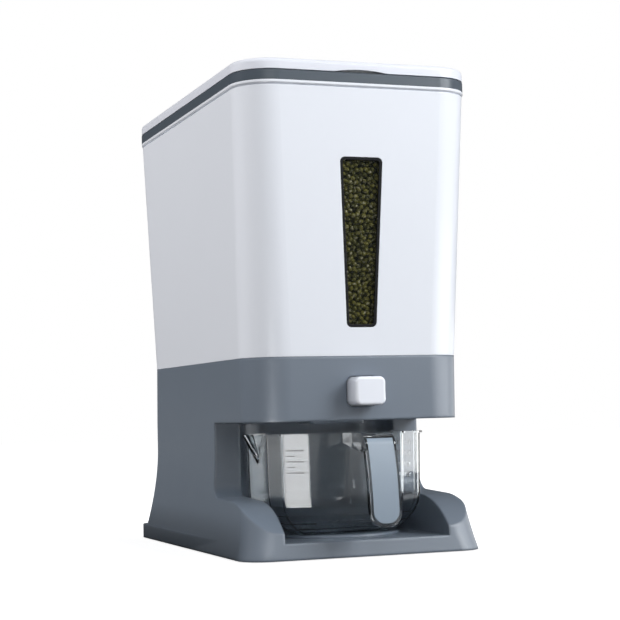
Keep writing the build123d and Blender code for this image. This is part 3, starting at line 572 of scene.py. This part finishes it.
class DISPENSER_OT_window(bpy.types.Operator):
    """Finish the window's black bezel and its clear pane"""

    bl_idname = "dispenser.window"
    bl_label = "Finish Window"

    def execute(self, context):
        colours = context.scene.dispenser_colours
        black = moulded("gloss_black", colours.bezel, roughness=0.34, spread=0.1, specular=0.2)
        clear = moulded("pane_clear", colours.pane, roughness=0.05, depth=0.000002, alpha=0.10)
        finish(black, "window_frame")
        finish(clear, "window_pane")
        return {"FINISHED"}


class DISPENSER_OT_button(bpy.types.Operator):
    """Finish the button in smooth white"""

    bl_idname = "dispenser.button"
    bl_label = "Finish Button"

    def execute(self, context):
        colours = context.scene.dispenser_colours
        white = moulded("button_white", colours.button, roughness=0.30, spread=0.004, wear=0.05)
        finish(white, "button_cap")
        return {"FINISHED"}


class DISPENSER_OT_mechanism(bpy.types.Operator):
    """Finish the funnel, the gate and its guide, and the button's stem and guide"""

    bl_idname = "dispenser.mechanism"
    bl_label = "Finish Mechanism"

    def execute(self, context):
        colours = context.scene.dispenser_colours
        finish(moulded("funnel_white", colours.inside, roughness=0.40), "hopper_funnel")
        plain = moulded("plain_grey", colours.mechanism, roughness=0.40)
        finish(plain, "gate_plate", "gate_guide", "button_guide", "button_stem")
        return {"FINISHED"}


class DISPENSER_OT_cup(bpy.types.Operator):
    """Finish the clear cup, its handle and the grey strip in it"""

    bl_idname = "dispenser.cup"
    bl_label = "Finish Cup"

    def execute(self, context):
        colours = context.scene.dispenser_colours
        clear = clear_plastic("cup_clear", colours.clear, roughness=0.03, waviness=0.00012)
        finish(clear, "cup_shell", "cup_handle")
        finish(moulded("strip_grey", colours.inlay, roughness=0.36), "handle_inlay")
        return {"FINISHED"}


class DISPENSER_OT_fittings(bpy.types.Operator):
    """Finish the rubber feet, the screws and the hinge pins"""

    bl_idname = "dispenser.fittings"
    bl_label = "Finish Fittings"

    def execute(self, context):
        colours = context.scene.dispenser_colours
        finish(rubber("foot_rubber", colours.rubber), "rubber_feet")
        steel = plated("plated_steel", colours.steel)
        finish(steel, "floor_screws", "hopper_screws", "gate_screws", "hinge_pins")
        return {"FINISHED"}


class DISPENSER_OT_spring(bpy.types.Operator):
    """Copy the return spring as a coil of its own, with doubled points merged, on the frame"""

    bl_idname = "dispenser.spring"
    bl_label = "Wind Spring"

    def execute(self, context):
        colours = context.scene.dispenser_colours
        steel = plated("spring_steel", colours.steel)
        shape = bmesh.new()
        shape.from_mesh(nodes["return_spring"].data)
        bmesh.ops.remove_doubles(shape, verts=shape.verts, dist=0.000001)
        bmesh.ops.recalc_face_normals(shape, faces=shape.faces)
        coil = mesh_object("spring_coil", shape, steel)
        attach(coil, "frame")
        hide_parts("return_spring")
        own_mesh(coil)
        return {"FINISHED"}


class DISPENSER_OT_beans(bpy.types.Operator):
    """Fill the bin with beans: loose ones behind the window and on the heap's top"""

    bl_idname = "dispenser.beans"
    bl_label = "Fill With Beans"

    def execute(self, context):
        sizes = context.scene.dispenser_beans
        colours = context.scene.dispenser_colours
        dice = random.Random(sizes.seed)
        skin = bean_skin("bean_skin", colours.bean_dark, colours.bean_light, colours.bean_scar)
        mould = bean_mould(sizes)
        self.behind_window(sizes, dice, mould, skin)
        self.on_heap(sizes, dice, mould, skin)
        self.bed(sizes, skin)
        bpy.data.meshes.remove(mould)
        return {"FINISHED"}

    def behind_window(self, sizes, dice, mould, skin):
        """Loose beans packed against the pane's back."""
        low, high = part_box("window_pane")
        step = sizes.spacing
        lean = (high.y - low.y - PANE_THICKNESS) / (high.z - low.z)
        columns = round((high.x - low.x + 2 * PANE_PAST_SIDES) / step)
        rows = round((high.z - low.z + 2 * PANE_PAST_ENDS) / (step * ROW_SHARE))
        layers = round(sizes.window_depth / (step * LAYER_SHARE))
        front = sizes.width / 2 + PANE_GAP
        spots = []
        for layer in range(layers):
            for row in range(rows):
                for column in range(columns):
                    shift = 0.5 * ((row + layer) % 2)
                    x = (column + shift - (columns - 0.5) / 2) * step
                    z = low.z - PANE_PAST_ENDS + row * step * ROW_SHARE
                    spots.append(Vector((x, layer * step * LAYER_SHARE, z)))
        loose = nudge(spots, dice, step, WINDOW_NUDGE)
        packed = []
        for x, depth, z in settle(loose, step, rounds=12):
            back = high.y - (z - low.z) * lean
            packed.append(Vector((x, back + max(depth, 0.0) + front, z)))
        pour("beans_at_window", packed, mould, dice, skin)

    def on_heap(self, sizes, dice, mould, skin):
        """One layer of loose beans over the heap's top."""
        spots = []
        low, high = self.room(sizes.heap_edge)
        step = sizes.spacing
        for row in range(int((high.y - low.y) / (step * ROW_SHARE))):
            for column in range(int((high.x - low.x) / step)):
                x = low.x + (column + 0.5 * (row % 2)) * step
                y = low.y + row * step * ROW_SHARE
                if self.inside(x, y, low, high):
                    spots.append(Vector((x, y, 0.0)))
        loose = nudge(spots, dice, step, HEAP_NUDGE)
        placed = []
        for x, y, z in settle(loose, step, rounds=3):
            placed.append(Vector((x, y, z + self.heap_height(x, y, sizes, low, high))))
        front_half = [spot for spot in placed if spot.y < 0]
        rear_half = [spot for spot in placed if spot.y >= 0]
        pour("beans_front_heap", front_half, mould, dice, skin)
        pour("beans_rear_heap", rear_half, mould, dice, skin)

    def room(self, height):
        """Lowest and highest corner of the room between the bin's walls at a height."""
        low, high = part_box("hopper_body")
        share = (high.z - height) / (high.z - low.z)
        side = ROOM_TAPER_SIDE * share + ROOM_WALL
        front = ROOM_TAPER_FRONT * share + ROOM_WALL
        rear = ROOM_TAPER_REAR * share + ROOM_WALL
        return (
            Vector((low.x + side, low.y + front, height)),
            Vector((high.x - side, high.y - rear, height)),
        )

    def inside(self, x, y, low, high):
        """Whether a point lies in the room's rounded rectangle."""
        over_x = max(low.x + ROOM_CORNER - x, x - high.x + ROOM_CORNER, 0.0)
        over_y = max(low.y + ROOM_CORNER - y, y - high.y + ROOM_CORNER, 0.0)
        return math.hypot(over_x, over_y) <= ROOM_CORNER

    def heap_height(self, x, y, sizes, low, high):
        """Height of the heap's top, highest in the middle of the bin."""
        across = math.cos(math.pi * x / (high.x - low.x))
        along = math.cos(math.pi * (y - (low.y + high.y) / 2) / (high.y - low.y))
        return sizes.heap_edge + sizes.heap_rise * across * along

    def rounded(self, spot, half_x, half_y):
        """The place in a rounded rectangle that matches a place in the plain one."""
        reach = max(abs(spot.x) / half_x, abs(spot.y) / half_y)
        if not reach:
            return spot
        edge = Vector((abs(spot.x), abs(spot.y))) / reach
        core = Vector((half_x - BED_CORNER, half_y - BED_CORNER))
        if edge.x <= core.x or edge.y <= core.y:
            return spot
        product = edge.dot(core)
        square = edge.length_squared
        shrink = product + math.sqrt(product**2 - square * (core.length_squared - BED_CORNER**2))
        return spot * (shrink / square)

    def bed(self, sizes, skin):
        """The body of the heap, whose top carries the loose beans."""
        low, high = self.room(sizes.heap_edge)
        middle = (low.y + high.y) / 2
        width = high.x - low.x
        depth = high.y - low.y
        half_x = width / 2 - BED_SIDE_GAP
        half_y = depth / 2 - BED_END_GAP
        shape = bmesh.new()
        bmesh.ops.create_grid(shape, x_segments=24, y_segments=36, size=0.5)
        bmesh.ops.scale(shape, verts=shape.verts, vec=(2 * half_x, 2 * half_y, 1))
        for vert in shape.verts:
            vert.co.xy = self.rounded(vert.co.xy, half_x, half_y)
            vert.co.y += middle + BED_SHIFT
            height = self.heap_height(vert.co.x, vert.co.y, sizes, low, high)
            vert.co.z = height - sizes.width * BED_DROP
        rim = [edge for edge in shape.edges if edge.is_boundary]
        for height, across, along, shift in BED_LEVELS:
            made = bmesh.ops.extrude_edge_only(shape, edges=rim)["geom"]
            ring = [item for item in made if isinstance(item, bmesh.types.BMVert)]
            wide = max(abs(vert.co.x) for vert in ring)
            near = min(vert.co.y for vert in ring)
            far = max(vert.co.y for vert in ring)
            for vert in ring:
                share_x = vert.co.x / wide
                share_y = (vert.co.y - (near + far) / 2) / ((far - near) / 2)
                vert.co.x = share_x * across * width / 2
                vert.co.y = share_y * along * depth / 2 + middle + shift
                vert.co.z = height
            rim = [item for item in made if isinstance(item, bmesh.types.BMEdge)]
        bmesh.ops.holes_fill(shape, edges=rim)
        bmesh.ops.recalc_face_normals(shape, faces=shape.faces)
        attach(mesh_object("bean_bed", shape, skin), "frame")


class DISPENSER_OT_marks(bpy.types.Operator):
    """Print plain measuring marks on the cup's front left facet"""

    bl_idname = "dispenser.marks"
    bl_label = "Print Cup Marks"

    def execute(self, context):
        sizes = context.scene.dispenser_marks
        colours = context.scene.dispenser_colours
        ink = moulded("mark_print", colours.print, roughness=0.5, spread=0.06)
        shape = bmesh.new()
        for row in range(2 * sizes.rows - 1):
            height = sizes.top - row * sizes.pitch / 2
            length = sizes.short_mark if row % 2 else sizes.long_mark
            self.bar(shape, height, length, sizes)
        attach(mesh_object("cup_marks", shape, ink, smooth=False), "cup")
        return {"FINISHED"}

    def bar(self, shape, height, length, sizes):
        """One flat bar that lies on the cup's facet at a height."""
        outside = Vector((*MARK_SIGHT, height))
        inwards = (Vector((*MARK_FACET, height)) - outside).normalized()
        hit, place, normal, _ = nodes["cup_shell"].ray_cast(outside, inwards)
        if not hit:
            raise RuntimeError("the marks found no cup wall")
        along = Vector((0, 0, 1)).cross(normal).normalized()
        up = normal.cross(along)
        turn = Matrix((along, up, normal)).transposed().to_4x4()
        start = place - along * MARK_START + along * length / 2
        size = Matrix.Diagonal((length, sizes.thickness, MARK_DEPTH, 1.0))
        stand = Matrix.Translation(start) @ turn @ size
        made = bmesh.ops.create_cube(shape, size=1.0, matrix=stand)
        edges = {edge for vert in made["verts"] for edge in vert.link_edges}
        bmesh.ops.bevel(
            shape,
            geom=list(edges),
            offset=MARK_EDGE,
            segments=1,
            affect="EDGES",
            profile=0.5,
            material=-1,
        )


class DISPENSER_OT_studio(bpy.types.Operator):
    """Set up the pale floor, the soft lights and the camera"""

    bl_idname = "dispenser.studio"
    bl_label = "Set Up Studio"

    def execute(self, context):
        sizes = context.scene.dispenser_studio
        self.floor(sizes)
        self.world(context, sizes)
        self.lights(sizes)
        self.flag()
        self.camera(context, sizes)
        context.scene.view_settings.view_transform = "Standard"
        return {"FINISHED"}

    def floor(self, sizes):
        """A wide pale floor that shows white and keeps the object's shadow. Round the object
        it is dark for all rays but those that see the ground: painted shade on the floor."""
        made, shader, paint = new_material("pale_floor")
        place = paint.place()
        seen = paint.sees_ground(paint.along("Y", place))
        if sizes.white_ground:
            glow = paint.math("MULTIPLY", seen, FLOOR_GLOW)
            paint.join(glow, shader.inputs["Emission Strength"])
            shader.inputs["Emission Color"].default_value = WHITE
        cloud = paint.noise(place, Scale=3.0, Detail=2.0)
        near = paint.add("ShaderNodeMapping", vector_type="TEXTURE")
        near.inputs["Scale"].default_value = (FLOOR_PAINTED_SHADE_RADIUS, FLOOR_PAINTED_SHADE_RADIUS, 1.0)
        paint.join(place, near.inputs["Vector"])
        shade = paint.add("ShaderNodeTexGradient", gradient_type="SPHERICAL")
        paint.join(near.outputs["Vector"], shade.inputs["Vector"])
        # painted shade: the floor turns dark round the object for rays that don't see the ground
        painted_shade_mask = paint.math("SUBTRACT", shade.outputs["Fac"], seen, clamp=True)
        shaded = paint.mix(painted_shade_mask, paint.mix(cloud, *FLOOR_SHADES), FLOOR_PAINTED_SHADE)
        paint.join(shaded, shader.inputs["Base Color"])
        shader.inputs["Roughness"].default_value = 0.9
        shape = bmesh.new()
        bmesh.ops.create_circle(shape, cap_ends=True, segments=96, radius=FLOOR_RADIUS)
        mesh_object("studio_floor", shape, made, smooth=False)

    def world(self, context, sizes):
        """Even light that fades towards the rear, and a plain white background."""
        world = bpy.data.worlds.new("studio_world")
        world.use_nodes = True
        paint = Shading(world.node_tree)
        soft = world.node_tree.nodes["Background"]
        soft.inputs["Color"].default_value = FILL_TINT
        depth = paint.along("Y", paint.add("ShaderNodeTexCoord").outputs["Generated"])
        rear = sizes.fill * FILL_REAR
        fade = paint.span(depth, sizes.fill, rear, *FILL_FADE, interpolation_type="SMOOTHSTEP")
        paint.join(fade, soft.inputs["Strength"])
        if sizes.white_ground:
            white = paint.add("ShaderNodeBackground", Color=WHITE)
            either = paint.add("ShaderNodeMixShader")
            paint.join(paint.sees_ground(depth), either.inputs["Fac"])
            paint.join(soft.outputs[0], either.inputs[1])
            paint.join(white.outputs[0], either.inputs[2])
            paint.join(either.outputs[0], world.node_tree.nodes["World Output"].inputs["Surface"])
        context.scene.world = world

    def lights(self, sizes):
        """Three soft lights, and three cards that show only in reflections."""
        self.lamp("right_light", sizes.right).data.color = RIGHT_TINT
        self.lamp("front_light", sizes.front)
        self.lamp("left_light", sizes.left).visible_glossy = False
        self.lamp("left_card", sizes.left_card).visible_diffuse = False
        self.lamp("right_card", sizes.right_card).visible_diffuse = False
        self.lamp("side_card", sizes.side_card).visible_diffuse = False

    def lamp(self, name, power):
        """A flat soft light, set up as the table of lamps says, that faces its target."""
        place, target, size = LAMPS[name]
        light = bpy.data.lights.new(name, "AREA")
        light.shape = "RECTANGLE"
        light.size, light.size_y = size
        light.energy = power
        lamp = bpy.data.objects.new(name, light)
        lamp.location = place
        lamp.rotation_euler = (Vector(target) - Vector(place)).to_track_quat("-Z", "Y").to_euler()
        lamp.visible_camera = False
        bpy.context.scene.collection.objects.link(lamp)
        return lamp

    def flag(self):
        """A low black flag that keeps the left light off the foot of the base."""
        made, shader, _ = new_material("flag_black")
        shader.inputs["Base Color"].default_value = BLACK
        shader.inputs["Specular IOR Level"].default_value = 0.0
        shape = bmesh.new()
        stand = Matrix.Translation(FLAG_PLACE) @ Matrix.Diagonal((*FLAG_SIZE, 1.0))
        bmesh.ops.create_cube(shape, size=1.0, matrix=stand)
        flag = mesh_object("light_flag", shape, made, smooth=False)
        flag.visible_camera = False
        flag.visible_glossy = False
        flag.visible_transmission = False

    def camera(self, context, sizes):
        """Camera that stands low, a little to the left of the front."""
        ahead = Vector(
            (
                math.sin(sizes.yaw) * math.cos(sizes.pitch),
                math.cos(sizes.yaw) * math.cos(sizes.pitch),
                math.sin(sizes.pitch),
            )
        )
        level = Vector((math.cos(sizes.yaw), -math.sin(sizes.yaw), 0))
        upright = level.cross(ahead)
        right = level * math.cos(sizes.roll) - upright * math.sin(sizes.roll)
        up = level * math.sin(sizes.roll) + upright * math.cos(sizes.roll)
        data = bpy.data.cameras.new("studio_camera")
        data.lens = sizes.lens
        data.sensor_width = 36.0
        data.clip_start, data.clip_end = 0.05, 30.0
        camera = bpy.data.objects.new("studio_camera", data)
        turn = Matrix((right, up, -ahead)).transposed().to_4x4()
        camera.matrix_world = Matrix.Translation(Vector(sizes.camera)) @ turn
        context.scene.collection.objects.link(camera)
        context.scene.camera = camera


operators = (
    DISPENSER_OT_housing,
    DISPENSER_OT_bin,
    DISPENSER_OT_lid,
    DISPENSER_OT_window,
    DISPENSER_OT_button,
    DISPENSER_OT_mechanism,
    DISPENSER_OT_cup,
    DISPENSER_OT_fittings,
    DISPENSER_OT_spring,
    DISPENSER_OT_beans,
    DISPENSER_OT_marks,
    DISPENSER_OT_studio,
)

property_groups = {
    "dispenser_colours": DispenserColours,
    "dispenser_beans": BeanSizes,
    "dispenser_marks": MarkSizes,
    "dispenser_studio": StudioSizes,
}


class DISPENSER_PT_looks(bpy.types.Panel):
    """Panel with a button for each piece, and its sizes and colours"""

    bl_label = "Dispenser"
    bl_idname = "DISPENSER_PT_looks"
    bl_space_type = "VIEW_3D"
    bl_region_type = "UI"
    bl_category = "Dispenser"

    def draw(self, context):
        layout = self.layout
        for operator in operators:
            layout.operator(operator.bl_idname)
        for group in property_groups:
            box = layout.box()
            values = getattr(context.scene, group)
            for name in values.__annotations__:
                box.prop(values, name)


def register():
    """Registers the groups of properties, the operators and the panel."""
    for name, group in property_groups.items():
        bpy.utils.register_class(group)
        setattr(bpy.types.Scene, name, PointerProperty(type=group))
    for operator in operators:
        bpy.utils.register_class(operator)
    bpy.utils.register_class(DISPENSER_PT_looks)


def unregister():
    """Takes everything back in the opposite order."""
    bpy.utils.unregister_class(DISPENSER_PT_looks)
    for operator in reversed(operators):
        bpy.utils.unregister_class(operator)
    for name, group in reversed(property_groups.items()):
        delattr(bpy.types.Scene, name)
        bpy.utils.unregister_class(group)


def main():
    """Dresses the dispenser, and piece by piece."""
    register()
    bpy.ops.dispenser.housing()
    bpy.ops.dispenser.bin()
    bpy.ops.dispenser.lid()
    bpy.ops.dispenser.window()
    bpy.ops.dispenser.button()
    bpy.ops.dispenser.mechanism()
    bpy.ops.dispenser.cup()
    bpy.ops.dispenser.fittings()
    bpy.ops.dispenser.spring()
    bpy.ops.dispenser.beans()
    bpy.ops.dispenser.marks()
    bpy.ops.dispenser.studio()


if __name__ == "__main__":
    main()
